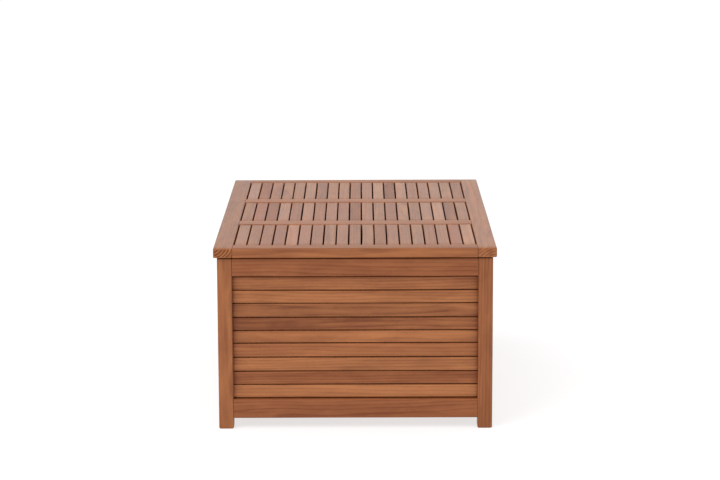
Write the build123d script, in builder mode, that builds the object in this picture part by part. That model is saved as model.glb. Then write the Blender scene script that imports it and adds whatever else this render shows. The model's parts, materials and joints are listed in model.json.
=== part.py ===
from build123d import *
import math
import os

# Slatted teak deck box with a lid hinged along its back. Millimetres.
# X runs along the box, Y from the front (-Y) to the hinged back (+Y), Z is up from the floor.

# Overall sizes, measured over the lid
length = 1200.0
width = 800.0
height = 527.0
lid_overhang = 10.0
lid_gap = 4.0

# Posts, which are also the feet
post_size = 42.0
post_round = 4.5
foot_chamfer = 4.0
foot_clearance = 31.0

# Rails between the posts
rail_thickness = 28.0
rail_setback = 2.0
rail_round = 3.0
top_rail_height = 51.5
bottom_rail_height = 55.5
tenon_thickness = 12.0
tenon_shoulder = 8.0
mortise_wall = 1.5
mortise_relief = 0.5

# Side and end panels: horizontal slats, sawn to slightly different heights, top to bottom.
# A lap along the back of each slat's top edge fits behind the one above and keeps rain out of the gap.
slat_shares = [37, 35, 38, 35, 34, 38, 38, 36, 36]
slat_gap = 3.1
slat_thickness = 12.0
slat_setback = 13.0
slat_round = 2.0
slat_housing = 8.0
lap_thickness = 4.0
lap_reach = 3.5
lap_clearance = 0.4

# Upright muntins that divide each long side into bays
muntins_per_side = 2
muntin_width = 42.0
muntin_tenon_length = 16.0

# Floor of the box
ledger_size = 20.0
ledger_drop = 30.0
bearer_width = 44.0
bearer_tenon = 10.0
floor_slat_width = 60.0
floor_slat_thickness = 12.0
floor_slat_least_gap = 8.0
floor_clearance = 1.0

# Lid frame and its slats
lid_thickness = 28.0
lid_round = 3.5
lid_inner_round = 0.8
lid_stile_width = 54.0
lid_outer_rail_width = 54.0
lid_mid_rail_width = 60.0
lid_tenon_length = 26.0
lid_tenon_thickness = 10.0
lid_tenon_shoulder = 8.0
lid_slats_per_bay = 19
lid_slat_gap = 4.2
lid_slat_thickness = 16.0
lid_slat_drop = 1.0
lid_slat_round = 1.5
lid_stub_length = 8.0
lid_stub_thickness = 8.0
lid_stub_shoulder = 4.0

# Butt hinges, screwed to the back rail and under the back stile
hinge_spread = 840.0
leaf_length = 90.0
leaf_width = 32.0
leaf_thickness = 1.5
knuckle_radius = 4.5
knuckles = 5
knuckle_gap = 0.5
hinge_clearance = 0.5
pin_radius = 2.4
pin_running_clearance = 0.05
pin_head_height = 1.2

# Countersunk screws
screw_radius = 1.8
screw_head_radius = 3.3
screw_length = 18.0
screw_sink = 0.1
screws_per_leaf = 3
lid_screw_clearance = 1.5

# Gas struts, one inside each end
strut_reach = 250.0
strut_foot_setback = 5.0
strut_foot_drop = 17.0
strut_head_drop = 14.0
strut_post_gap = 10.0
strut_rail_gap = 22.0
lid_opening = 90.0
tube_radius = 9.0
tube_bore = 7.6
tube_start = 20.0
tube_length = 126.0
tube_end_wall = 5.0
rod_radius = 4.0
piston_radius = 7.52
piston_length = 9.0
rod_running_clearance = 0.06
socket_radius = 8.0
socket_width = 14.0
barrel_radius = 6.0
barrel_length = 20.0
spigot_length = 8.0
ball_radius = 5.0
ball_clearance = 0.08
ball_mouth_radius = 4.3
neck_radius = 3.2
bracket_thickness = 2.5
bracket_height = 30.0
bracket_width = 38.0
bracket_round = 3.0
bracket_edge_gap = 0.5
stud_gap = 0.6
web_gap = 3.5
lid_bracket_length = 44.0
lid_bracket_web = 22.0

# Rubber bumpers that the closed lid rests on
bumper_radius = 8.0
bumper_clearance = 0.1
bumper_pin_radius = 2.5
bumper_pin_length = 8.0

# Worked out from the sizes above
body_length = length - 2 * lid_overhang
body_width = width - 2 * lid_overhang
lid_underside = height - lid_thickness
body_top = lid_underside - lid_gap
panel_bottom = foot_clearance + bottom_rail_height
panel_top = body_top - top_rail_height
panel_height = panel_top - panel_bottom
rail_middle = rail_setback + rail_thickness / 2
mortise_depth = post_size - rail_middle - tenon_thickness / 2 - mortise_wall
tenon_length = mortise_depth - mortise_relief
rail_back = rail_setback + rail_thickness
inner_x = body_length / 2 - rail_back
inner_y = body_width / 2 - rail_back
ledger_top = foot_clearance + ledger_drop
lid_slat_middle_z = height - lid_slat_drop - lid_slat_thickness / 2
lid_stub_bottom = lid_slat_middle_z - lid_stub_thickness / 2
lid_screw_length = bracket_thickness + lid_stub_bottom - lid_underside - lid_screw_clearance

os.makedirs("parts", exist_ok=True)


def save(piece, name):
    piece.part.label = name
    export_step(piece.part, f"parts/{name}.step")


# Each side of the body has a plane on its posts' outer faces: local x along the side, y up, z outwards.
sides = {
    "front": Plane(origin=(0, -body_width / 2, 0), x_dir=(1, 0, 0), z_dir=(0, -1, 0)),
    "back": Plane(origin=(0, body_width / 2, 0), x_dir=(-1, 0, 0), z_dir=(0, 1, 0)),
    "left": Plane(origin=(-body_length / 2, 0, 0), x_dir=(0, -1, 0), z_dir=(-1, 0, 0)),
    "right": Plane(origin=(body_length / 2, 0, 0), x_dir=(0, 1, 0), z_dir=(1, 0, 0)),
}
spans = {
    "front": body_length - 2 * post_size,
    "back": body_length - 2 * post_size,
    "left": body_width - 2 * post_size,
    "right": body_width - 2 * post_size,
}


def cross_plane(side, along):
    # A plane across the side at this distance along it: local x is the depth behind the posts' face, y is up.
    plane = sides[side]
    return Plane(
        origin=plane.from_local_coords(Vector(along, 0, 0)),
        x_dir=plane.z_dir * -1,
        z_dir=plane.x_dir,
    )


def muntin_places(side):
    if side in ("left", "right"):
        return []
    bay = (spans[side] - muntins_per_side * muntin_width) / (muntins_per_side + 1)
    start = -spans[side] / 2 + bay + muntin_width / 2
    return [start + i * (bay + muntin_width) for i in range(muntins_per_side)]


def bays(side):
    # The clear stretches between posts and muntins, as (start, end) along the side.
    edges = [-spans[side] / 2]
    for place in muntin_places(side):
        edges += [place - muntin_width / 2, place + muntin_width / 2]
    edges.append(spans[side] / 2)
    return list(zip(edges[::2], edges[1::2]))


def slat_rows():
    # (middle height, slat height) of each row, from the top down.
    timber = panel_height - (len(slat_shares) + 1) * slat_gap
    rows = []
    top = panel_top - slat_gap
    for share in slat_shares:
        tall = timber * share / sum(slat_shares)
        rows.append((top - tall / 2, tall))
        top -= tall + slat_gap
    return rows


rail_levels = {
    "top": (body_top - top_rail_height / 2, top_rail_height),
    "bottom": (foot_clearance + bottom_rail_height / 2, bottom_rail_height),
}
slat_middle = slat_setback + slat_thickness / 2
lap_middle = slat_setback + slat_thickness - lap_thickness / 2


def cut_rebates(side, start, end, lower_edges):
    # Room behind each of these lower edges for the lap that comes up from below.
    with BuildSketch(cross_plane(side, start)) as rebates:
        for edge in lower_edges:
            with Locations((lap_middle, edge)):
                Rectangle(lap_thickness + 2 * lap_clearance, 2 * (lap_reach + lap_clearance))
    extrude(rebates.sketch, amount=end - start, mode=Mode.SUBTRACT)


def add_laps(side, start, end, upper_edges):
    # A lap up from the back of each of these upper edges, across the gap and behind the slat above.
    tall = slat_gap + lap_reach + slat_round
    with BuildSketch(cross_plane(side, start + lap_clearance)) as laps:
        for edge in upper_edges:
            with Locations((lap_middle, edge - slat_round + tall / 2)):
                Rectangle(lap_thickness, tall)
    extrude(laps.sketch, amount=end - start - 2 * lap_clearance)


# Hinge axis: behind the back rail, under the lid's overhang
hinge_y = body_width / 2 - rail_setback + hinge_clearance + knuckle_radius
hinge_z = lid_underside - hinge_clearance - knuckle_radius
hinge_places = {"left": -hinge_spread / 2, "middle": 0.0, "right": hinge_spread / 2}
knuckle_length = (leaf_length - (knuckles - 1) * knuckle_gap) / knuckles
screw_margin = leaf_length / (2 * screws_per_leaf)
box_leaf_top = hinge_z - knuckle_radius - hinge_clearance
lid_leaf_edge = hinge_y - knuckle_radius - hinge_clearance
leaf_face_y = body_width / 2 - rail_setback + leaf_thickness
leaf_face_z = lid_underside - leaf_thickness


def leaf_screw_xs(name):
    first = hinge_places[name] - leaf_length / 2 + screw_margin
    return [first + i * 2 * screw_margin for i in range(screws_per_leaf)]


def outward(x, y, z, direction):
    # A place whose local z points out of the face that a screw is driven into.
    return Plane(origin=(x, y, z), z_dir=direction).location


box_leaf_screws = {
    name: [
        outward(x, leaf_face_y, box_leaf_top - leaf_width / 2, (0, 1, 0))
        for x in leaf_screw_xs(name)
    ]
    for name in hinge_places
}
lid_leaf_screws = {
    name: [
        outward(x, lid_leaf_edge - leaf_width / 2, leaf_face_z, (0, 0, -1))
        for x in leaf_screw_xs(name)
    ]
    for name in hinge_places
}

# Strut ends: the foot turns on a ball on the end rail, the head meets a stud under the lid
strut_plane_x = min(body_length / 2 - post_size - strut_post_gap, inner_x - strut_rail_gap)
foot_y = body_width / 2 - post_size - strut_foot_setback
foot_z = hinge_z - strut_foot_drop
head_y = hinge_y - strut_reach
head_z = lid_underside - strut_head_drop
closed_length = math.hypot(head_y - foot_y, head_z - foot_z)
closed_angle = math.atan2(head_z - foot_z, head_y - foot_y)
strut_run = Vector(0, math.cos(closed_angle), math.sin(closed_angle))
ends = {"left": -1, "right": 1}
web_x = strut_plane_x + socket_width / 2 + web_gap
flange_end_x = inner_x - bracket_edge_gap
flange_screw_x = (web_x + bracket_thickness + flange_end_x) / 2
flange_face_z = lid_underside - bracket_thickness
box_bracket_edge_y = body_width / 2 - post_size - bracket_edge_gap
box_bracket_y = box_bracket_edge_y - bracket_width / 2

box_bracket_screws = {
    end: [
        outward(
            sign * (inner_x - bracket_thickness),
            box_bracket_edge_y - bracket_width + 2 * screw_head_radius,
            foot_z + offset,
            (-sign, 0, 0),
        )
        for offset in (-bracket_height / 4, bracket_height / 4)
    ]
    for end, sign in ends.items()
}
lid_bracket_screws = {
    end: [
        outward(sign * flange_screw_x, head_y + offset, flange_face_z, (0, 0, -1))
        for offset in (-lid_bracket_length / 3, lid_bracket_length / 3)
    ]
    for end, sign in ends.items()
}


def drill_pilot_holes(places, length):
    with Locations(*places):
        Hole(radius=screw_radius, depth=length + mortise_relief)


def sink_screw_holes(places):
    with Locations(*places):
        CounterSinkHole(radius=screw_radius, counter_sink_radius=screw_head_radius)


# Posts
def make_post(name, front_or_back, left_or_right):
    x = ends[left_or_right] * (body_length - post_size) / 2
    y = (body_width - post_size) / 2 * (1 if front_or_back == "back" else -1)
    with BuildPart() as post:
        with BuildSketch() as footprint:
            with Locations((x, y)):
                RectangleRounded(post_size, post_size, post_round)
        extrude(amount=body_top)
        chamfer(post.faces().sort_by(Axis.Z)[0].edges(), foot_chamfer)
        chamfer(post.faces().sort_by(Axis.Z)[-1].edges(), lid_inner_round)
        for side in (front_or_back, left_or_right):
            at_end = 1 if sides[side].to_local_coords(Vector(x, y, 0)).X > 0 else -1
            with BuildSketch(cross_plane(side, at_end * spans[side] / 2)):
                for middle, tall in rail_levels.values():
                    with Locations((rail_middle, middle)):
                        Rectangle(tenon_thickness, tall - 2 * tenon_shoulder)
            extrude(amount=at_end * mortise_depth, mode=Mode.SUBTRACT)
            with BuildSketch(cross_plane(side, at_end * spans[side] / 2)):
                for middle, tall in slat_rows():
                    with Locations((slat_middle, middle)):
                        Rectangle(slat_thickness, tall)
            extrude(amount=at_end * (slat_housing + mortise_relief), mode=Mode.SUBTRACT)
        with Locations((x, y, body_top)):
            Hole(radius=bumper_pin_radius, depth=bumper_pin_length + mortise_relief)
    save(post, name)


for depth_side in ("front", "back"):
    for end in ends:
        make_post(f"post_{depth_side}_{end}", depth_side, end)


# Rails
def make_rail(level, side):
    middle, tall = rail_levels[level]
    span = spans[side]
    with BuildPart() as rail:
        with BuildSketch(cross_plane(side, -span / 2)):
            with Locations((rail_middle, middle)):
                RectangleRounded(rail_thickness, tall, rail_round)
        extrude(amount=span)
        with BuildSketch(cross_plane(side, -span / 2 - tenon_length)):
            with Locations((rail_middle, middle)):
                Rectangle(tenon_thickness, tall - 2 * tenon_shoulder)
        extrude(amount=span + 2 * tenon_length)
        if muntin_places(side):
            with BuildSketch(sides[side].offset(-(rail_middle - tenon_thickness / 2))):
                for place in muntin_places(side):
                    with Locations((place, panel_bottom + panel_height / 2)):
                        Rectangle(
                            muntin_width - 2 * tenon_shoulder,
                            panel_height + 2 * (muntin_tenon_length + mortise_relief),
                        )
            extrude(amount=-tenon_thickness, mode=Mode.SUBTRACT)
        for start, end in bays(side):
            if level == "top":
                cut_rebates(side, start, end, [panel_top])
            else:
                add_laps(side, start, end, [panel_bottom])
        if level == "bottom" and side in ends:
            with BuildSketch(cross_plane(side, -bearer_width / 2 + tenon_shoulder)):
                with Locations((rail_back, ledger_top - ledger_size / 2)):
                    Rectangle(2 * (bearer_tenon + mortise_relief), tenon_thickness)
            extrude(amount=bearer_width - 2 * tenon_shoulder, mode=Mode.SUBTRACT)
        if level == "top" and side == "back":
            for places in box_leaf_screws.values():
                drill_pilot_holes(places, screw_length)
        if level == "top" and side in ends:
            drill_pilot_holes(box_bracket_screws[side], screw_length)
    save(rail, f"{level}_rail_{side}")


for level in rail_levels:
    for side in sides:
        make_rail(level, side)


# Muntins of the long sides
def make_muntins(side):
    with BuildPart() as muntins:
        with BuildSketch(sides[side].offset(-rail_setback)):
            for place in muntin_places(side):
                with Locations((place, panel_bottom + panel_height / 2)):
                    Rectangle(muntin_width, panel_height)
        extrude(amount=-rail_thickness)
        fillet(muntins.edges().filter_by(Axis.Z), rail_round)
        with BuildSketch(sides[side].offset(-(rail_middle - tenon_thickness / 2))):
            for place in muntin_places(side):
                with Locations((place, panel_bottom + panel_height / 2)):
                    Rectangle(
                        muntin_width - 2 * tenon_shoulder,
                        panel_height + 2 * muntin_tenon_length,
                    )
        extrude(amount=-tenon_thickness)
        for start, end in bays(side):
            for face, inwards in ((start, -1), (end, 1)):
                if abs(face) < spans[side] / 2 - 1:
                    with BuildSketch(cross_plane(side, face)):
                        for middle, tall in slat_rows():
                            with Locations((slat_middle, middle)):
                                Rectangle(slat_thickness, tall)
                    extrude(
                        amount=inwards * (slat_housing + mortise_relief),
                        mode=Mode.SUBTRACT,
                    )
    save(muntins, f"muntins_{side}")


for side in ("front", "back"):
    make_muntins(side)


# Panel slats: one group of separate slats in each bay
def make_slats(name, side, start, end):
    with BuildPart() as slats:
        with BuildSketch(cross_plane(side, start - slat_housing)):
            for middle, tall in slat_rows():
                with Locations((slat_middle, middle)):
                    RectangleRounded(slat_thickness, tall, slat_round)
        extrude(amount=end - start + 2 * slat_housing)
        cut_rebates(
            side,
            start - slat_housing,
            end + slat_housing,
            [middle - tall / 2 for middle, tall in slat_rows()],
        )
        add_laps(side, start, end, [middle + tall / 2 for middle, tall in slat_rows()])
    save(slats, name)


for end in ends:
    make_slats(f"end_slats_{end}", end, *bays(end)[0])
for side in ("front", "back"):
    for place, (start, end) in zip(("first", "middle", "last"), bays(side)):
        make_slats(f"{side}_slats_{place}", side, start, end)


# Floor: ledgers along the long sides, a bearer down the middle, slats across them
ledger_length = body_length - 2 * post_size - 2 * floor_clearance
for side in ("front", "back"):
    with BuildPart() as ledger:
        with BuildSketch(cross_plane(side, -ledger_length / 2)):
            with Locations((rail_back + ledger_size / 2, ledger_top - ledger_size / 2)):
                Rectangle(ledger_size, ledger_size)
        extrude(amount=ledger_length)
    save(ledger, f"floor_ledger_{side}")

with BuildPart() as bearer:
    with BuildSketch(Plane.YZ.offset(-inner_x)):
        with Locations((0, ledger_top - ledger_size / 2)):
            Rectangle(bearer_width, ledger_size)
    extrude(amount=2 * inner_x)
    with BuildSketch(Plane.YZ.offset(-inner_x - bearer_tenon)):
        with Locations((0, ledger_top - ledger_size / 2)):
            Rectangle(bearer_width - 2 * tenon_shoulder, tenon_thickness)
    extrude(amount=2 * (inner_x + bearer_tenon))
save(bearer, "floor_bearer")

floor_span = ledger_length
floor_slat_count = int(
    (floor_span + floor_slat_least_gap) // (floor_slat_width + floor_slat_least_gap)
)
floor_pitch = (floor_span - floor_slat_width) / (floor_slat_count - 1)
with BuildPart() as floor_slats:
    with BuildSketch(Plane.XY.offset(ledger_top)):
        with GridLocations(floor_pitch, 1, floor_slat_count, 1):
            Rectangle(floor_slat_width, 2 * (inner_y - floor_clearance))
    extrude(amount=floor_slat_thickness)
    fillet(floor_slats.edges().filter_by(Axis.Y).group_by(Axis.Z)[-1], slat_round)
save(floor_slats, "floor_slats")


# Lid frame: two stiles along the box, four rails between them
stile_inner_y = width / 2 - lid_stile_width
lid_middle_z = lid_underside + lid_thickness / 2
lid_bay = (length - 2 * lid_outer_rail_width - 2 * lid_mid_rail_width) / 3
lid_rails = {
    "lid_rail_left": (-(length - lid_outer_rail_width) / 2, lid_outer_rail_width),
    "lid_rail_mid_left": (-(lid_bay + lid_mid_rail_width) / 2, lid_mid_rail_width),
    "lid_rail_mid_right": ((lid_bay + lid_mid_rail_width) / 2, lid_mid_rail_width),
    "lid_rail_right": ((length - lid_outer_rail_width) / 2, lid_outer_rail_width),
}
lid_slat_width = (2 * stile_inner_y - (lid_slats_per_bay + 1) * lid_slat_gap) / lid_slats_per_bay
lid_slat_pitch = lid_slat_width + lid_slat_gap

for name, sign in (("front", -1), ("back", 1)):
    with BuildPart() as stile:
        with BuildSketch(Plane.YZ.offset(-length / 2)):
            with Locations((sign * (stile_inner_y + lid_stile_width / 2), lid_middle_z)):
                Rectangle(lid_stile_width, lid_thickness)
        extrude(amount=length)
        outer_edges = [edge for edge in stile.edges() if abs(edge.center().Y) > stile_inner_y + 1]
        fillet(outer_edges, lid_round)
        with BuildSketch(Plane.XZ.offset(-sign * stile_inner_y)):
            for middle, wide in lid_rails.values():
                with Locations((middle, lid_middle_z)):
                    Rectangle(wide - 2 * lid_tenon_shoulder, lid_tenon_thickness)
        extrude(amount=-sign * (lid_tenon_length + mortise_relief), mode=Mode.SUBTRACT)
        if name == "back":
            for places in lid_leaf_screws.values():
                drill_pilot_holes(places, screw_length)
    save(stile, f"lid_stile_{name}")

for name, (middle, wide) in lid_rails.items():
    with BuildPart() as lid_rail:
        with BuildSketch(Plane.XZ.offset(-stile_inner_y)):
            with Locations((middle, lid_middle_z)):
                Rectangle(wide, lid_thickness)
        extrude(amount=2 * stile_inner_y)
        for edge_x in (middle - wide / 2, middle + wide / 2):
            on_rim = abs(abs(edge_x) - length / 2) < 1
            long_edges = lid_rail.edges().filter_by(Axis.Y).filter_by_position(
                Axis.X, edge_x - 0.1, edge_x + 0.1
            )
            fillet(long_edges, lid_round if on_rim else lid_inner_round)
        with BuildSketch(Plane.XZ.offset(-stile_inner_y - lid_tenon_length)):
            with Locations((middle, lid_middle_z)):
                Rectangle(wide - 2 * lid_tenon_shoulder, lid_tenon_thickness)
        extrude(amount=2 * (stile_inner_y + lid_tenon_length))
        for edge_x, inwards in ((middle - wide / 2, 1), (middle + wide / 2, -1)):
            if abs(abs(edge_x) - length / 2) > 1:
                with BuildSketch(Plane.YZ.offset(edge_x)):
                    with Locations((0, lid_slat_middle_z)):
                        with GridLocations(lid_slat_pitch, 1, lid_slats_per_bay, 1):
                            Rectangle(lid_slat_width - 2 * lid_stub_shoulder, lid_stub_thickness)
                extrude(
                    amount=inwards * (lid_stub_length + mortise_relief),
                    mode=Mode.SUBTRACT,
                )
        if name.split("_")[-1] in ends and "mid" not in name:
            drill_pilot_holes(lid_bracket_screws[name.split("_")[-1]], lid_screw_length)
    save(lid_rail, name)

# Lid slats: each has a stub tenon at both ends, let into the rails
for name, bay_middle in (
    ("left", -(lid_bay + lid_mid_rail_width)),
    ("middle", 0),
    ("right", lid_bay + lid_mid_rail_width),
):
    with BuildPart() as lid_slats:
        with BuildSketch(Plane.YZ.offset(bay_middle - lid_bay / 2)):
            with Locations((0, lid_slat_middle_z)):
                with GridLocations(lid_slat_pitch, 1, lid_slats_per_bay, 1):
                    RectangleRounded(lid_slat_width, lid_slat_thickness, lid_slat_round)
        extrude(amount=lid_bay)
        with BuildSketch(Plane.YZ.offset(bay_middle - lid_bay / 2 - lid_stub_length)):
            with Locations((0, lid_slat_middle_z)):
                with GridLocations(lid_slat_pitch, 1, lid_slats_per_bay, 1):
                    Rectangle(lid_slat_width - 2 * lid_stub_shoulder, lid_stub_thickness)
        extrude(amount=lid_bay + 2 * lid_stub_length)
    save(lid_slats, f"lid_slats_{name}")


# Hinges
def knuckle_start(x, index):
    return x - leaf_length / 2 + index * (knuckle_length + knuckle_gap)


def add_knuckles(x, indexes, bore_radius):
    for index in indexes:
        with BuildSketch(Plane.YZ.offset(knuckle_start(x, index))) as knuckle:
            with Locations((hinge_y, hinge_z)):
                Circle(knuckle_radius)
        extrude(knuckle.sketch, amount=knuckle_length)
    with BuildSketch(Plane.YZ.offset(x - leaf_length / 2)) as bore:
        with Locations((hinge_y, hinge_z)):
            Circle(bore_radius)
    extrude(bore.sketch, amount=leaf_length, mode=Mode.SUBTRACT)


def add_leaf_plate(plane, x, edge, tab_edge, indexes):
    # A plate that reaches back from edge, with a tab out to tab_edge at each of its knuckles.
    with BuildSketch(plane) as plate:
        with Locations((x, edge - leaf_width / 2)):
            Rectangle(leaf_length, leaf_width)
        for index in indexes:
            tab_middle = knuckle_start(x, index) + knuckle_length / 2
            with Locations((tab_middle, (edge + tab_edge) / 2)):
                Rectangle(knuckle_length, tab_edge - edge)
    extrude(plate.sketch, amount=leaf_thickness)


rail_face = Plane(origin=(0, leaf_face_y, 0), x_dir=(1, 0, 0), z_dir=(0, -1, 0))
for name, x in hinge_places.items():
    with BuildPart() as box_leaf:
        box_knuckles = range(0, knuckles, 2)
        add_leaf_plate(rail_face, x, box_leaf_top, hinge_z, box_knuckles)
        add_knuckles(x, box_knuckles, pin_radius)
        sink_screw_holes(box_leaf_screws[name])
    save(box_leaf, f"hinge_{name}_box_leaf")

    with BuildPart() as lid_leaf:
        lid_knuckles = range(1, knuckles, 2)
        add_leaf_plate(Plane.XY.offset(leaf_face_z), x, lid_leaf_edge, hinge_y, lid_knuckles)
        add_knuckles(x, lid_knuckles, pin_radius + pin_running_clearance)
        sink_screw_holes(lid_leaf_screws[name])
    save(lid_leaf, f"hinge_{name}_lid_leaf")

    with BuildPart() as pin:
        with BuildSketch(Plane.YZ.offset(x - leaf_length / 2)):
            with Locations((hinge_y, hinge_z)):
                Circle(pin_radius)
        extrude(amount=leaf_length)
        for plane_x, direction in ((x - leaf_length / 2, -1), (x + leaf_length / 2, 1)):
            with BuildSketch(Plane.YZ.offset(plane_x)):
                with Locations((hinge_y, hinge_z)):
                    Circle(knuckle_radius - hinge_clearance)
            extrude(amount=direction * pin_head_height)
    save(pin, f"hinge_{name}_pin")


# Gas struts
def along_strut(sign, distance):
    # A plane square to the strut, this far from its foot towards its head.
    foot = Vector(sign * strut_plane_x, foot_y, foot_z)
    return Plane(origin=foot + strut_run * distance, x_dir=(1, 0, 0), z_dir=strut_run)


def ball_place(sign, centre):
    # A sphere's seam lies on its own +X side, so it is turned to face away from the bracket.
    return Location(centre, (0, 0, 180 if sign > 0 else 0))


def make_socket(name, sign, distance, towards):
    # A round head on the ball's centre, open towards the bracket, with a barrel on the strut's axis.
    centre = along_strut(sign, distance).origin
    head_start = centre - Vector(socket_width / 2, 0, 0)
    with BuildPart() as socket:
        with BuildSketch(Plane(origin=head_start, x_dir=(0, 1, 0), z_dir=(1, 0, 0))):
            Circle(socket_radius)
        extrude(amount=socket_width)
        with BuildSketch(along_strut(sign, distance)):
            Circle(barrel_radius)
        extrude(amount=towards * barrel_length)
        with Locations(ball_place(sign, centre)):
            Sphere(ball_radius + ball_clearance, mode=Mode.SUBTRACT)
        with BuildSketch(Plane(origin=centre, x_dir=(0, 1, 0), z_dir=(1, 0, 0))):
            Circle(ball_mouth_radius)
        extrude(amount=sign * socket_width, mode=Mode.SUBTRACT)
        with BuildSketch(along_strut(sign, distance + towards * (barrel_length - spigot_length))):
            Circle(rod_radius)
        extrude(amount=towards * spigot_length, mode=Mode.SUBTRACT)
    save(socket, name)


for end, sign in ends.items():
    make_socket(f"strut_{end}_lower_socket", sign, 0, 1)
    make_socket(f"strut_{end}_upper_socket", sign, closed_length, -1)

    tube_end = tube_start + tube_length
    with BuildPart() as cylinder:
        with BuildSketch(along_strut(sign, tube_start)):
            Circle(tube_radius)
        extrude(amount=tube_length)
        rims = cylinder.edges().filter_by(GeomType.CIRCLE)
        chamfer(rims, (tube_radius - tube_bore) / 2)
        with BuildSketch(along_strut(sign, tube_start - spigot_length)):
            Circle(rod_radius)
        extrude(amount=spigot_length)
        with BuildSketch(along_strut(sign, tube_start + tube_end_wall)):
            Circle(tube_bore)
        extrude(amount=tube_length - 2 * tube_end_wall, mode=Mode.SUBTRACT)
        with BuildSketch(along_strut(sign, tube_end - tube_end_wall)):
            Circle(rod_radius + rod_running_clearance)
        extrude(amount=tube_end_wall, mode=Mode.SUBTRACT)
    save(cylinder, f"strut_{end}_cylinder")

    piston_start = tube_start + tube_end_wall + piston_length / 2
    rod_end = closed_length - barrel_length + spigot_length
    with BuildPart() as rod:
        with BuildSketch(along_strut(sign, piston_start)):
            Circle(piston_radius)
        extrude(amount=piston_length)
        with BuildSketch(along_strut(sign, piston_start)):
            Circle(rod_radius)
        extrude(amount=rod_end - piston_start)
    save(rod, f"strut_{end}_rod")

    with BuildPart() as box_bracket:
        with BuildSketch(sides[end].offset(-rail_back)):
            with Locations((sign * box_bracket_y, foot_z)):
                RectangleRounded(bracket_width, bracket_height, bracket_round)
        extrude(amount=-bracket_thickness)
        neck_start = sign * (inner_x - bracket_thickness)
        with BuildSketch(Plane.YZ.offset(neck_start)):
            with Locations((foot_y, foot_z)):
                Circle(neck_radius)
        extrude(amount=sign * strut_plane_x - neck_start)
        with Locations(ball_place(sign, along_strut(sign, 0).origin)):
            Sphere(ball_radius)
        sink_screw_holes(box_bracket_screws[end])
    save(box_bracket, f"strut_{end}_box_bracket")

    with BuildPart() as lid_bracket:
        with BuildSketch(Plane.XY.offset(flange_face_z)):
            with Locations((sign * (web_x + flange_end_x) / 2, head_y)):
                Rectangle(flange_end_x - web_x, lid_bracket_length)
        extrude(amount=bracket_thickness)
        with BuildSketch(Plane.YZ.offset(sign * web_x)):
            with Locations((head_y, lid_underside - lid_bracket_web / 2)):
                Rectangle(lid_bracket_web, lid_bracket_web)
        extrude(amount=sign * bracket_thickness)
        stud_end = strut_plane_x + socket_width / 2 + stud_gap
        with BuildSketch(Plane.YZ.offset(sign * stud_end)):
            with Locations((head_y, head_z)):
                Circle(neck_radius)
        extrude(amount=sign * (web_x - stud_end))
        sink_screw_holes(lid_bracket_screws[end])
    save(lid_bracket, f"strut_{end}_lid_bracket")


# Screws: a pattern screw, head up at the origin, copied to each place
def make_screw(length):
    with BuildPart() as screw:
        with BuildSketch(Plane.XZ):
            with BuildLine():
                Polyline(
                    (0, -screw_sink),
                    (screw_head_radius - screw_sink, -screw_sink),
                    (screw_radius, -(screw_head_radius - screw_radius)),
                    (screw_radius, -(length - 2 * screw_radius)),
                    (0, -length),
                    close=True,
                )
            make_face()
        revolve(axis=Axis.Z)
    return screw.part


def place_screws(name, leaf_places, bracket_places, bracket_screw_length):
    with BuildPart() as screws:
        with Locations(*[place for group in leaf_places.values() for place in group]):
            add(make_screw(screw_length))
        with Locations(*[place for group in bracket_places.values() for place in group]):
            add(make_screw(bracket_screw_length))
    save(screws, name)


place_screws("screws_box", box_leaf_screws, box_bracket_screws, screw_length)
place_screws("screws_lid", lid_leaf_screws, lid_bracket_screws, lid_screw_length)


# Bumpers on the tops of the posts
with BuildPart() as bumpers:
    post_spacing = (body_length - post_size, body_width - post_size)
    with BuildSketch(Plane.XY.offset(body_top)):
        with GridLocations(*post_spacing, 2, 2):
            Circle(bumper_radius)
    extrude(amount=lid_gap - bumper_clearance)
    with BuildSketch(Plane.XY.offset(body_top - bumper_pin_length)):
        with GridLocations(*post_spacing, 2, 2):
            Circle(bumper_pin_radius)
    extrude(amount=bumper_pin_length)
save(bumpers, "lid_bumpers")


# The strut's own motion, as the lid goes from closed to fully open
opened = math.radians(lid_opening)
start_y = head_y - hinge_y
start_z = head_z - hinge_z
open_y = hinge_y + start_y * math.cos(opened) + start_z * math.sin(opened)
open_z = hinge_z - start_y * math.sin(opened) + start_z * math.cos(opened)
open_length = math.hypot(open_y - foot_y, open_z - foot_z)
open_angle = math.atan2(open_z - foot_z, open_y - foot_y)
print("hinge axis y, z", hinge_y, hinge_z)
print("strut foot x, y, z", strut_plane_x, foot_y, foot_z)
print("strut run", strut_run.Y, strut_run.Z)
print("swing in degrees", math.degrees(closed_angle - open_angle))
print("stroke", open_length - closed_length)
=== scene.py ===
import json
import math

import bpy
import numpy as np
from mathutils import Matrix, Vector


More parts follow.
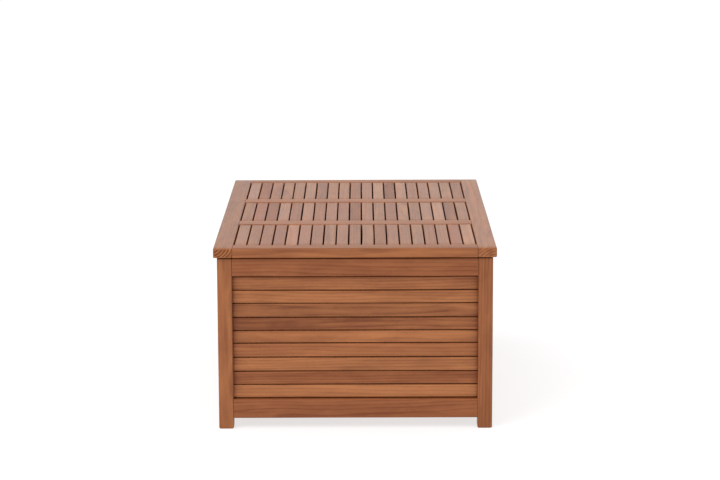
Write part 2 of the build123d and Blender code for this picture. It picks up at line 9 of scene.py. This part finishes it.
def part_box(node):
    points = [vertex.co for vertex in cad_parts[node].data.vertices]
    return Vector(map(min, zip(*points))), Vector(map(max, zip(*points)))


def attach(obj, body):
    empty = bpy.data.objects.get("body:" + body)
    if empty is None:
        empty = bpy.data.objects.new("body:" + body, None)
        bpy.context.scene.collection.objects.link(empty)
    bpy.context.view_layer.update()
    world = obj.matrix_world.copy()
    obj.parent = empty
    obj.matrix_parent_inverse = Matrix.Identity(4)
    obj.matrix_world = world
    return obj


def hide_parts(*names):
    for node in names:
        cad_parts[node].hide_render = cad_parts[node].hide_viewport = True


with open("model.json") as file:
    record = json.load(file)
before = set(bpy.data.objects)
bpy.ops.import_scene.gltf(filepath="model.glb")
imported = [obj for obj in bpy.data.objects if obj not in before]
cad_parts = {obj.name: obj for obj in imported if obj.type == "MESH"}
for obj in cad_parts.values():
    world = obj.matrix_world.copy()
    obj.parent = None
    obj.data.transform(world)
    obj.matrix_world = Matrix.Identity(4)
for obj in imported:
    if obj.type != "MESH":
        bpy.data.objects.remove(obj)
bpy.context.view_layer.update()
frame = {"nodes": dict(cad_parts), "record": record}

print("frame loaded:", len(frame["nodes"]), "nodes")


# small helpers for shader nodes

class Wire:  # one socket of a node tree; operators add Math nodes
    def __init__(self, sheet, socket):
        self.sheet = sheet
        self.socket = socket

    def math(self, operation, *others):
        return self.sheet.add("ShaderNodeMath", {"operation": operation}, [self, *others])

    def turned(self, operation, other):
        return self.sheet.add("ShaderNodeMath", {"operation": operation}, [other, self])

    def __add__(self, other):
        return self.math("ADD", other)

    def __sub__(self, other):
        return self.math("SUBTRACT", other)

    def __mul__(self, other):
        return self.math("MULTIPLY", other)

    def __truediv__(self, other):
        return self.math("DIVIDE", other)

    def __radd__(self, other):
        return self.turned("ADD", other)

    def __rsub__(self, other):
        return self.turned("SUBTRACT", other)


class Sheet:  # a material's node tree
    def __init__(self, name):
        self.material = bpy.data.materials.new(name)
        self.material.use_nodes = True
        self.tree = self.material.node_tree
        self.shader = self.tree.nodes["Principled BSDF"]

    def add(self, kind, settings, inputs, output=0):
        # settings first, then each socket's value or link; inputs is a list or a dictionary by name
        node = self.tree.nodes.new(kind)
        for name, value in settings.items():
            if name == "stops":
                self.setStops(node.color_ramp, value)
            else:
                setattr(node, name, value)
        pairs = inputs.items() if isinstance(inputs, dict) else enumerate(inputs)
        for key, value in pairs:
            self.feed(node.inputs[key], value)
        return Wire(self, node.outputs[output])

    def setStops(self, ramp, stops):
        while len(ramp.elements) < len(stops):
            ramp.elements.new(1.0)
        for element, (place, level) in zip(ramp.elements, stops):
            element.position = place
            element.color = (level, level, level, 1)

    def feed(self, socket, value):
        if isinstance(value, Wire):
            self.tree.links.new(value.socket, socket)
        else:
            socket.default_value = value

    def finish(self, **inputs):  # sockets of the Principled shader, by name with _ for a space
        for name, value in inputs.items():
            self.feed(self.shader.inputs[name.replace("_", " ")], value)
        return self.material

    def attribute(self, name, output):
        return self.add("ShaderNodeAttribute", {"attribute_name": name}, {}, output)

    def scaled(self, vector, factors):
        return self.add("ShaderNodeVectorMath", {"operation": "MULTIPLY"}, [vector, factors])

    def noise(self, vector, scale, detail, roughness=0.5, distortion=0.0):
        inputs = {"Vector": vector, "Scale": scale, "Detail": detail, "Roughness": roughness}
        return self.add("ShaderNodeTexNoise", {}, {**inputs, "Distortion": distortion})

    def ramp(self, value, stops):
        return self.add("ShaderNodeValToRGB", {"stops": stops}, [value])

    def mixColours(self, share, first, second, blend="MIX"):
        settings = {"data_type": "RGBA", "blend_type": blend, "clamp_factor": True}
        return self.add("ShaderNodeMix", settings, {0: share, 6: first, 7: second}, 2)

    def bump(self, height, strength, distance):
        inputs = {"Strength": strength, "Distance": distance, "Height": height}
        return self.add("ShaderNodeBump", {}, inputs)


# teak

teakLook = {
    "pale": (0.425, 0.162, 0.056, 1),
    "deep": (0.125, 0.034, 0.008, 1),
    "red": (0.270, 0.062, 0.015, 1),
    "ringSpacing": 0.0085,
    "ringWander": 0.022,
    "figureContrast": 0.95,
    "cloudContrast": 0.70,
    "streakContrast": 0.34,
    "ringContrast": 0.42,
    "toneContrast": 0.42,
    "endDarkening": 0.26,
    "endContrast": 4.6,
    "roughness": 0.45,
    "sheenSpread": 0.16,
    "boardSheen": 0.08,
    "grainRelief": 0.00022,
    "middleDepth": 0.46,  # how far a plain board lies from pale to deep
    "middleLateWood": 0.45,
    "fibreContrast": 0.16,
    "poreDepth": 0.10,
    "deepest": 1.2,
    "rednessSpread": 0.6,
    "redShare": 0.55,
    "endRoughness": 0.2,
    "bumpStrength": 0.55,
    "specular": 0.3,
}


def teak(name, changes=None):
    # solid wood from each board's own coordinates: along the grain, then two across it from the tree's heart
    look = {**teakLook, **(changes or {})}
    sheet = Sheet(name)
    grain = sheet.attribute("grain", "Vector")
    tone = sheet.attribute("tone", "Fac")
    warmth = sheet.attribute("warmth", "Fac")
    vivid = sheet.attribute("vivid", "Fac")
    cutEnd = sheet.attribute("cutEnd", "Fac")

    wander = sheet.noise(sheet.scaled(grain, (2.2, 16, 16)), 1, 2) - 0.5
    flat = sheet.scaled(grain, (0, 1, 1))
    radius = sheet.add("ShaderNodeVectorMath", {"operation": "LENGTH"}, [flat], "Value")
    rings = ((radius + wander * look["ringWander"]) / look["ringSpacing"]).math("FRACT")
    lateWood = sheet.ramp(rings, [(0.0, 0.25), (0.55, 0.45), (0.86, 1.0), (1.0, 0.2)])

    figure = sheet.noise(sheet.scaled(grain, (1.6, 42, 42)), 1, 4, 0.55, 0.35)
    clouds = sheet.noise(sheet.scaled(grain, (9, 34, 34)), 1, 3, 0.6, 0.5)
    streaks = sheet.noise(sheet.scaled(grain, (4.0, 170, 170)), 1, 3, 0.6)
    fibre = sheet.noise(sheet.scaled(grain, (22, 900, 900)), 1, 2, 0.6)
    pores = sheet.ramp(sheet.noise(sheet.scaled(grain, (70, 2300, 2300)), 1, 1), [(0.60, 0.0), (0.70, 1.0)])

    depth = look["middleDepth"] + (0.5 - figure) * look["figureContrast"] * vivid
    depth = depth + (0.5 - streaks) * look["streakContrast"]
    depth = depth + (0.5 - clouds) * look["cloudContrast"]
    depth = depth + (lateWood - look["middleLateWood"]) * look["ringContrast"] * (1 + cutEnd * look["endContrast"])
    depth = depth + (fibre - 0.5) * look["fibreContrast"] + pores * look["poreDepth"]
    # tone is each board's own tone plus, near the slat ends, painted shade from the posts
    depth = depth + tone * look["toneContrast"] + cutEnd * look["endDarkening"]
    depth = depth.math("MAXIMUM", 0.0).math("MINIMUM", look["deepest"])

    wood = sheet.mixColours(depth, look["pale"], look["deep"])
    redness = sheet.noise(sheet.scaled(grain, (0.9, 18, 18)), 1, 2) * look["rednessSpread"] + warmth
    colour = sheet.mixColours(redness.math("MAXIMUM", 0.0) * look["redShare"], wood, look["red"])

    relief = fibre * 0.5 + streaks * 0.6 - pores * 0.8 - lateWood * 0.25
    roughness = look["roughness"] + (figure - 0.5) * look["sheenSpread"] + cutEnd * look["endRoughness"]
    roughness = roughness + tone * look["boardSheen"]
    return sheet.finish(
        Base_Color=colour,
        Roughness=roughness,
        Normal=sheet.bump(relief, look["bumpStrength"], look["grainRelief"]),
        Specular_IOR_Level=look["specular"],
    )


# timber pieces

boardLook = {
    "arcPoints": 5,  # points round each arris
    "sidePoints": 2,  # points between two arrises
    "ringStep": 0.035,  # metres between rings of points along a board
    "waver": 0.00012,  # how far a planed face wanders
    "paintedShadeReach": [0.006, 0.013, 0.022],  # extra rings near each end of a slat, which carry the painted shade there
    "clearEnds": 0.03,  # metres at each end without plain rings
    "paintedShadeFade": 0.011,  # metres in which the painted shade beside a slat's joint with a post fades
    "seed": 41,
}


def roundedSection(wide, deep, arris):
    # a rectangle whose corners are quarter circles: corner centre + arris * (cos a, sin a)
    turn = np.linspace(0, math.pi / 2, boardLook["arcPoints"])
    between = np.arange(1, boardLook["sidePoints"] + 1) / (boardLook["sidePoints"] + 1)
    corners = np.array([(1, 1), (-1, 1), (-1, -1), (1, -1)]) * (wide / 2 - arris, deep / 2 - arris)
    arcs = [
        corner + arris * np.column_stack([np.cos(turn + k * math.pi / 2), np.sin(turn + k * math.pi / 2)])
        for k, corner in enumerate(corners)
    ]
    points = []
    for k, arc in enumerate(arcs):
        following = arcs[(k + 1) % 4][0]
        points += [arc, arc[-1] + between[:, None] * (following - arc[-1])]
    return np.concatenate(points)


def lengthStations(long, startRound, endRound, extra):
    # distances along a board and how far its section is drawn in there, a quarter circle at each end:
    # round * (1 - cos t) along and round * (1 - sin t) in, for t from 0 to a quarter turn
    turn = np.linspace(0, math.pi / 2, 4)
    lead, inset = 1 - np.cos(turn), 1 - np.sin(turn)
    count = max(2, int(long / boardLook["ringStep"]))
    middle = np.linspace(startRound, long - endRound, count + 1)[1:-1]
    near = [d for d in extra if d < long / 3]
    clear = boardLook["clearEnds"]
    middle = middle[(middle > clear) & (middle < long - clear)]
    middle = np.concatenate([near, middle, long - np.array(near[::-1])])
    places = np.concatenate([startRound * lead, middle, long - endRound * lead[::-1]])
    insets = np.concatenate([startRound * inset, np.zeros(len(middle)), endRound * inset[::-1]])
    return places, insets


def board(
    low, high, axis, arris, rng, endRound=0.0008, bow=(0.0, 0.0), startRound=None, kind=None, heart=None,
    endShade=1.0, paintedJointShade=0.0,
):
    # a closed bar between two corners: the rounded section carried along one axis,
    # shifted sideways by bow * sin(pi * s) and by a slow waver
    low, high = np.array(low, float), np.array(high, float)
    order = [axis, (axis + 1) % 3, (axis + 2) % 3]
    long, wide, deep = (high - low)[order]
    extra = boardLook["paintedShadeReach"] if paintedJointShade else []
    places, insets = lengthStations(long, endRound if startRound is None else startRound, endRound, extra)
    section = roundedSection(wide, deep, arris)
    shrink = 1 - 2 * insets[:, None, None] / np.array([wide, deep])
    share = places / long
    phase = rng.uniform(0, 2 * math.pi, 4)
    sway = np.column_stack([
        bow[0] * np.sin(math.pi * share) + boardLook["waver"] * np.sin(9 * places + phase[0]),
        bow[1] * np.sin(math.pi * share) + boardLook["waver"] * np.sin(7 * places + phase[1]),
    ])
    sway -= np.outer(1 - share, sway[0]) + np.outer(share, sway[-1])
    across = section[None] * shrink + sway[:, None]
    points = np.empty((len(places), len(section), 3))
    middle = (low + high) / 2
    points[..., order[0]] = (low[axis] + places)[:, None]
    points[..., order[1]] = middle[order[1]] + across[..., 0]
    points[..., order[2]] = middle[order[2]] + across[..., 1]

    rows, columns = points.shape[:2]
    i, j = np.meshgrid(np.arange(rows - 1), np.arange(columns), indexing="ij")
    k = (j + 1) % columns
    quads = np.stack([i * columns + j, i * columns + k, (i + 1) * columns + k, (i + 1) * columns + j], -1)
    caps = [list(range(columns))[::-1], list(range((rows - 1) * columns, rows * columns))]

    spin = rng.uniform(0, 2 * math.pi)
    reach = rng.uniform(0.02, 0.11)
    lean = rng.uniform(-0.016, 0.016, 2)
    centre = np.array(heart or [reach * math.cos(spin), reach * math.sin(spin)])
    offset = centre + places[:, None, None] * lean
    tone, warmth = rng.normal(0, 0.28), rng.normal(0, 0.30)
    vivid = 1.0
    if kind:
        tone, warmth, vivid = kind
    toEnd = np.minimum(places, long - places)
    grain = np.empty_like(points)
    grain[..., 0] = places[:, None] + rng.uniform(0, 40)
    grain[..., 1:] = section[None] * shrink + offset
    return {
        "points": points.reshape(-1, 3),
        "quads": quads.reshape(-1, 4),
        "caps": caps,
        "grain": grain.reshape(-1, 3),
        # near each slat end the tone is raised: painted shade where the posts shade the set-back slats
        "tone": np.repeat(tone + paintedJointShade * np.exp(-toEnd / boardLook["paintedShadeFade"]), columns),
        "warmth": np.full(rows * columns, warmth),
        "vivid": np.full(rows * columns, vivid),
        "endShade": endShade,
    }


def joinBoards(name, boards, material):
    # one mesh from several boards, with the wood's coordinates and each board's tone kept as attributes; the tone
    # includes the painted shade near slat ends
    starts = np.cumsum([0] + [len(b["points"]) for b in boards])
    faces, cutEnd = [], []
    for start, b in zip(starts, boards):
        faces += (b["quads"] + start).tolist() + [[start + v for v in cap] for cap in b["caps"]]
        cutEnd += [0.0] * len(b["quads"]) + [b["endShade"]] * len(b["caps"])
    mesh = bpy.data.meshes.new(name)
    mesh.from_pydata(np.concatenate([b["points"] for b in boards]), [], faces)
    grain = np.concatenate([b["grain"] for b in boards]).astype(np.float32)
    mesh.attributes.new("grain", "FLOAT_VECTOR", "POINT").data.foreach_set("vector", grain.ravel())
    for key in ("tone", "warmth", "vivid"):
        values = np.concatenate([b[key] for b in boards])
        mesh.attributes.new(key, "FLOAT", "POINT").data.foreach_set("value", values.astype(np.float32))
    mesh.attributes.new("cutEnd", "FLOAT", "FACE").data.foreach_set("value", np.array(cutEnd, np.float32))
    smooth = np.ones(len(faces), bool)
    smooth[np.array(cutEnd) > 0] = False
    mesh.polygons.foreach_set("use_smooth", smooth)
    mesh.materials.append(material)
    mesh.update()
    piece = bpy.data.objects.new(name, mesh)
    bpy.context.scene.collection.objects.link(piece)
    return piece


def place(piece, node, body, slotName):
    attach(piece, body)
    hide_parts(node)


def intervals(node, axis, capAxis=None):
    # where a node's separate solids lie along an axis, as (low, high) pairs; by their end faces where
    # their middles overlap
    mesh = frame["nodes"][node].data
    spots = np.empty(len(mesh.vertices) * 3, np.float32)
    mesh.vertices.foreach_get("co", spots)
    corners = np.empty(len(mesh.loops), np.int32)
    mesh.loops.foreach_get("vertex_index", corners)
    spots = spots.reshape(-1, 3)[corners]
    values = spots[:, axis].reshape(-1, 3)
    if capAxis is not None:
        reach = spots[:, capAxis].reshape(-1, 3).max(1)
        values = values[reach < spots[:, capAxis].min() + 0.0001]
    lows, highs = values.min(1), values.max(1)
    order = np.argsort(lows)
    reach = np.maximum.accumulate(highs[order])
    breaks = np.flatnonzero(lows[order][1:] > reach[:-1] + 0.0005)
    starts = lows[order][np.concatenate([[0], breaks + 1])]
    ends = reach[np.concatenate([breaks, [len(reach) - 1]])]
    return list(zip(starts.tolist(), ends.tolist()))


rng = np.random.default_rng(boardLook["seed"])
bodyTeak = teak("teakBody")
lidTeak = teak("teakLid", {"roughness": 0.34})
lidRailTeak = teak("teakLidRail", {"roughness": 0.42})
floorTeak = teak("teakFloor", {"roughness": 0.7, "pale": (0.40, 0.17, 0.07, 1)})

# posts
postLook = {
    "arris": 0.0045,
    "topRound": 0.001,
    "footRound": 0.004,
    "kinds": {  # tone, warmth, figure
        "post_front_right": (0.28, 0.0, 1.0),
        "post_back_right": (0.30, 0.05, 1.0),
    },
}
for depth in ("front", "back"):
    for end in ("left", "right"):
        node = f"post_{depth}_{end}"
        low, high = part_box(node)
        kind = postLook["kinds"].get(node)
        post = board(
            low, high, 2, postLook["arris"], rng, postLook["topRound"],
            startRound=postLook["footRound"], kind=kind,
        )
        place(joinBoards(f"post.{depth}.{end}", [post], bodyTeak), node, "box", "teak_body")
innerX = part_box("post_front_right")[0].x
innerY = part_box("post_back_right")[0].y
print("posts made")

# rails, cut to length between the posts
railLook = {
    "arris": 0.003,
    "kinds": {"top_rail_right": (0.42, 0.30, 0.8), "bottom_rail_right": (0.56, 0.30, 0.8)},
    "panelGap": 0.0031,
}
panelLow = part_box("end_slats_right")[0].z - railLook["panelGap"]
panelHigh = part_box("top_rail_right")[0].z
for level in ("top", "bottom"):
    for side in ("front", "back", "left", "right"):
        node = f"{level}_rail_{side}"
        low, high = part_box(node)
        axis = 0 if side in ("front", "back") else 1
        low[axis], high[axis] = (-innerX, innerX) if axis == 0 else (-innerY, innerY)
        if level == "bottom":
            high.z = panelLow
        rail = board(low, high, axis, railLook["arris"], rng, 0.0002, kind=railLook["kinds"].get(node))
        place(joinBoards(f"rail.{level}.{side}", [rail], bodyTeak), node, "box", "teak_body")
print("rails made")

# muntins of the long sides
muntinEdges = intervals("muntins_front", 0)
for side in ("front", "back"):
    node = f"muntins_{side}"
    low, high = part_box(node)
    pair = [
        board((a, low.y, panelLow), (b, high.y, panelHigh), 2, railLook["arris"], rng, 0.0002)
        for a, b in muntinEdges
    ]
    place(joinBoards(f"muntins.{side}", pair, bodyTeak), node, "box", "teak_body")

# panel slats
slatLook = {
    "arris": 0.002,
    "bow": 0.00045,
    "lap": (0.0005, 0.004),  # depths of its two faces, from the slat's inner face
    "lapSink": 0.002,
    # a darker tone for the laps: painted shade in the gaps between slats
    "lapShadeKind": (1.0, 0.0, 1.0),
    # how much darker a slat gets at its ends: painted shade from the posts
    "paintedJointShade": 0.85,
    "endKinds": [  # top to bottom at the right end
        (0.06, 0.05, 1.0), (-0.24, 0.0, 1.0), (0.22, -0.05, 1.2), (0.60, 0.1, 2.4), (-0.28, 0.0, 1.1),
        (-0.04, 0.15, 0.8), (-0.44, -0.05, 1.4), (0.42, 0.15, 1.1), (-0.70, 0.0, 1.0),
    ],
}


def slatRows(node, axis, start, end, kinds=None):
    # slats between two shoulders, each with its lap behind the gap above it
    low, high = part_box(node)
    rows = intervals(node, 2, axis)
    boards = []
    for row, (a, b) in enumerate(rows):
        bow = rng.normal(0, slatLook["bow"])
        bottom, top = list(low), list(high)
        bottom[2], top[2] = a, b
        bottom[axis], top[axis] = start, end
        sideways = (bow, 0.0) if axis == 1 else (0.0, bow)
        kind = kinds[-1 - row] if kinds else None
        boards.append(board(
            bottom, top, axis, slatLook["arris"], rng, 0.0002, sideways, kind=kind,
            paintedJointShade=slatLook["paintedJointShade"],
        ))
    across = 1 - axis
    inner = min(low[across], high[across], key=abs)
    lap = sorted(inner + math.copysign(depth, inner) for depth in slatLook["lap"])
    edges = [panelLow, *[z for pair in rows for z in pair], panelHigh]
    for a, b in zip(edges[::2], edges[1::2]):
        bottom[across], top[across] = lap
        bottom[2], top[2] = a - slatLook["lapSink"], b + slatLook["lapSink"]
        # the laps take the darker tone, painted shade seen through the gaps
        boards.append(board(bottom, top, axis, 0.0002, rng, 0.0002, kind=slatLook["lapShadeKind"]))
    return boards


for end in ("left", "right"):
    node = f"end_slats_{end}"
    rows = slatRows(node, 1, -innerY, innerY, slatLook["endKinds"] if end == "right" else None)
    place(joinBoards(f"slats.end.{end}", rows, bodyTeak), node, "box", "teak_body")
for side in ("front", "back"):
    for name in ("first", "middle", "last"):
        node = f"{side}_slats_{name}"
        centre = (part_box(node)[0].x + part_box(node)[1].x) / 2
        edges = [-innerX, *[x for pair in muntinEdges for x in pair], innerX]
        start = max(x for x in edges if x < centre)
        finish = min(x for x in edges if x > centre)
        rows = slatRows(node, 0, start, finish)
        place(joinBoards(f"slats.{side}.{name}", rows, bodyTeak), node, "box", "teak_body")
print("panel slats made")

# floor
for node in ("floor_ledger_front", "floor_ledger_back", "floor_bearer"):
    low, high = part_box(node)
    if node == "floor_bearer":
        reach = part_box("bottom_rail_right")[0].x
        low.x, high.x = -reach, reach
    piece = board(low, high, 0, 0.001, rng)
    place(joinBoards(node.replace("_", "."), [piece], floorTeak), node, "box", "teak_floor")
low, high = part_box("floor_slats")
slats = [
    board((a, low.y, low.z), (b, high.y, high.z), 1, 0.0015, rng, 0.001)
    for a, b in intervals("floor_slats", 0)
]
place(joinBoards("floor.slats", slats, floorTeak), "floor_slats", "box", "teak_floor")
print("floor made")

# lid frame
lidLook = {
    "arris": 0.0035,
    "endRound": 0.0035,
    "innerArris": 0.0008,
    "slatArris": 0.0015,
    "slatBow": 0.0003,
    "stileKinds": {"front": (0.10, -0.1, 1.4), "back": (-0.12, 0.0, 1.4)},
    "hearts": {"front": (0.034, -0.026), "back": (-0.030, 0.050)},
    "endShades": {"front": 2.0, "back": 0.35},
    "railTones": {"left": -0.1, "mid_left": -0.35, "mid_right": -0.35, "right": 0.08},
}
for side in ("front", "back"):
    node = f"lid_stile_{side}"
    low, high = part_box(node)
    stile = board(
        low, high, 0, lidLook["arris"], rng, lidLook["endRound"], kind=lidLook["stileKinds"][side],
        heart=lidLook["hearts"][side], endShade=lidLook["endShades"][side],
    )
    place(joinBoards(f"lid.stile.{side}", [stile], lidTeak), node, "lid", "teak_lid")
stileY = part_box("lid_stile_back")[0].y
railEdges = []
for name in ("left", "mid_left", "mid_right", "right"):
    node = f"lid_rail_{name}"
    low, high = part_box(node)
    low.y, high.y = -stileY, stileY
    railEdges += [low.x, high.x]
    arris = lidLook["innerArris"] if "mid" in name else lidLook["arris"]
    rail = board(low, high, 1, arris, rng, 0.0002, kind=(lidLook["railTones"][name], 0.1, 1.0))
    place(joinBoards(f"lid.rail.{name.replace('_', '.')}", [rail], lidRailTeak), node, "lid", "teak_lid")

# lid slats
for name, start, finish in zip(("left", "middle", "right"), railEdges[1::2], railEdges[2::2]):
    node = f"lid_slats_{name}"
    low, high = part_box(node)
    slats = [
        board(
            (start, a, low.z), (finish, b, high.z), 0, lidLook["slatArris"], rng, 0.0003,
            (rng.normal(0, lidLook["slatBow"]), 0.0),
        )
        for a, b in intervals(node, 1)
    ]
    place(joinBoards(f"lid.slats.{name}", slats, lidTeak), node, "lid", "teak_lid")
print("lid made")


# metal, plastic and rubber, on the pieces as packed

def brushedSteel(name, colour, roughness, along):
    # fine scratches stretched along one direction, over soft patches
    sheet = Sheet(name)
    spot = sheet.add("ShaderNodeTexCoord", {}, {}, "Object")
    scratches = sheet.noise(sheet.scaled(spot, along), 1, 3, 0.6)
    patches = sheet.noise(spot, 45, 3, 0.5)
    tint = sheet.mixColours(patches, [c * 0.82 for c in colour[:3]] + [1], colour)
    return sheet.finish(
        Base_Color=tint,
        Metallic=1.0,
        Roughness=roughness + (scratches - 0.5) * 0.22 + (patches - 0.5) * 0.12,
        Normal=sheet.bump(scratches, 0.25, 0.00008),
    )


def satinPaint(name, colour, roughness, grainScale, relief):
    # a fine orange-peel skin with slight changes of shade
    sheet = Sheet(name)
    spot = sheet.add("ShaderNodeTexCoord", {}, {}, "Object")
    peel = sheet.noise(spot, grainScale, 2, 0.5)
    patches = sheet.noise(spot, 30, 3, 0.5)
    lighter = [c * 1.7 + 0.004 for c in colour[:3]] + [1]
    return sheet.finish(
        Base_Color=sheet.mixColours(patches, colour, lighter),
        Roughness=roughness + (patches - 0.5) * 0.2,
        Normal=sheet.bump(peel, 0.3, relief),
    )


steel = brushedSteel("hingeSteel", (0.40, 0.39, 0.37, 1), 0.36, (60, 2500, 2500))
screwSteel = brushedSteel("screwSteel", (0.30, 0.295, 0.285, 1), 0.30, (900, 900, 900))
zinc = brushedSteel("bracketZinc", (0.58, 0.59, 0.60, 1), 0.42, (400, 1800, 1800))
polished = brushedSteel("rodSteel", (0.78, 0.78, 0.79, 1), 0.12, (1200, 90, 1200))
tubePaint = satinPaint("tubePaint", (0.018, 0.018, 0.019, 1), 0.38, 1800, 0.00004)
plastic = satinPaint("socketPlastic", (0.030, 0.030, 0.032, 1), 0.55, 3200, 0.00006)
rubber = satinPaint("bumperRubber", (0.028, 0.024, 0.022, 1), 0.8, 2600, 0.0001)
finishes = {
    "hinge_metal": steel, "screw_metal": screwSteel, "bracket_metal": zinc, "strut_rod": polished,
    "strut_black": tubePaint, "socket_plastic": plastic, "bumper_rubber": rubber,
}
for part in frame["record"]["subparts"]:
    if part["material_slot"] in finishes:
        mesh = frame["nodes"][part["node"]].data
        mesh.materials.clear()
        mesh.materials.append(finishes[part["material_slot"]])
print("hardware finished")


# floor, light and camera

studio = {
    "sky": 0.93,
    "floorSize": 60.0,
    "floorColour": (0.36, 0.36, 0.36, 1),
    "floorGlow": 0.70,
    "keyPower": 172.0,
    "keySize": 4.0,
    "keyPlace": (4.6, -3.2, 4.4),
    "keyAim": (0.4, 0.0, 0.3),
    "topPower": 9.0,
    "topSize": 2.8,
    "topPlace": (0.0, 0.0, 3.2),
}

sheet = Sheet("floorPale")
spot = sheet.add("ShaderNodeTexCoord", {}, {}, "Object")
cloud = sheet.noise(spot, 0.8, 2, 0.5)
palest = studio["floorColour"]
sheet.finish(
    Base_Color=sheet.mixColours(cloud, [c * 0.98 for c in palest[:3]] + [1], palest),
    Roughness=0.95,
    Specular_IOR_Level=0.0,
    Emission_Color=(1, 1, 1, 1),
    Emission_Strength=studio["floorGlow"],
)
half = studio["floorSize"] / 2
floorMesh = bpy.data.meshes.new("floor")
corners = [(-half, -half, 0), (half, -half, 0), (half, half, 0), (-half, half, 0)]
floorMesh.from_pydata(corners, [], [(0, 1, 2, 3)])
floorMesh.materials.append(sheet.material)
floor = bpy.data.objects.new("floor", floorMesh)
bpy.context.scene.collection.objects.link(floor)

world = bpy.data.worlds.new("studio")
bpy.context.scene.world = world
world.use_nodes = True
world.node_tree.nodes["Background"].inputs["Color"].default_value = (1, 1, 1, 1)
world.node_tree.nodes["Background"].inputs["Strength"].default_value = studio["sky"]


def softLight(name, power, size, where, aim):
    light = bpy.data.lights.new(name, "AREA")
    light.shape = "DISK"
    light.size = size
    light.energy = power
    lamp = bpy.data.objects.new(name, light)
    lamp.location = where
    lamp.rotation_euler = (Vector(aim) - Vector(where)).to_track_quat("-Z", "Y").to_euler()
    bpy.context.scene.collection.objects.link(lamp)


softLight("key", studio["keyPower"], studio["keySize"], studio["keyPlace"], studio["keyAim"])
softLight("top", studio["topPower"], studio["topSize"], studio["topPlace"], (0.0, 0.0, 0.0))

cameraLook = {"place": (7.027, 0.021, 1.767), "pitch": -10.72, "yaw": 0.06, "roll": -0.20, "lens": 116.4}
lens = bpy.data.cameras.new("camera")
lens.lens = cameraLook["lens"]
lens.sensor_width = 36.0
lens.clip_end = 200.0
camera = bpy.data.objects.new("camera", lens)
pitch, yaw, roll = (math.radians(cameraLook[key]) for key in ("pitch", "yaw", "roll"))
forward = np.array([-math.cos(yaw) * math.cos(pitch), -math.sin(yaw) * math.cos(pitch), math.sin(pitch)])
right = np.array([-math.sin(yaw), math.cos(yaw), 0.0])
up = np.cross(right, forward)
tiltedRight = math.cos(roll) * right + math.sin(roll) * up
tiltedUp = math.cos(roll) * up - math.sin(roll) * right
turn = np.eye(4)
turn[:3] = np.column_stack([tiltedRight, tiltedUp, -forward, cameraLook["place"]])
camera.matrix_world = Matrix(turn.tolist())
bpy.context.scene.collection.objects.link(camera)
bpy.context.scene.camera = camera
bpy.context.scene.view_settings.view_transform = "Standard"
print("studio set")
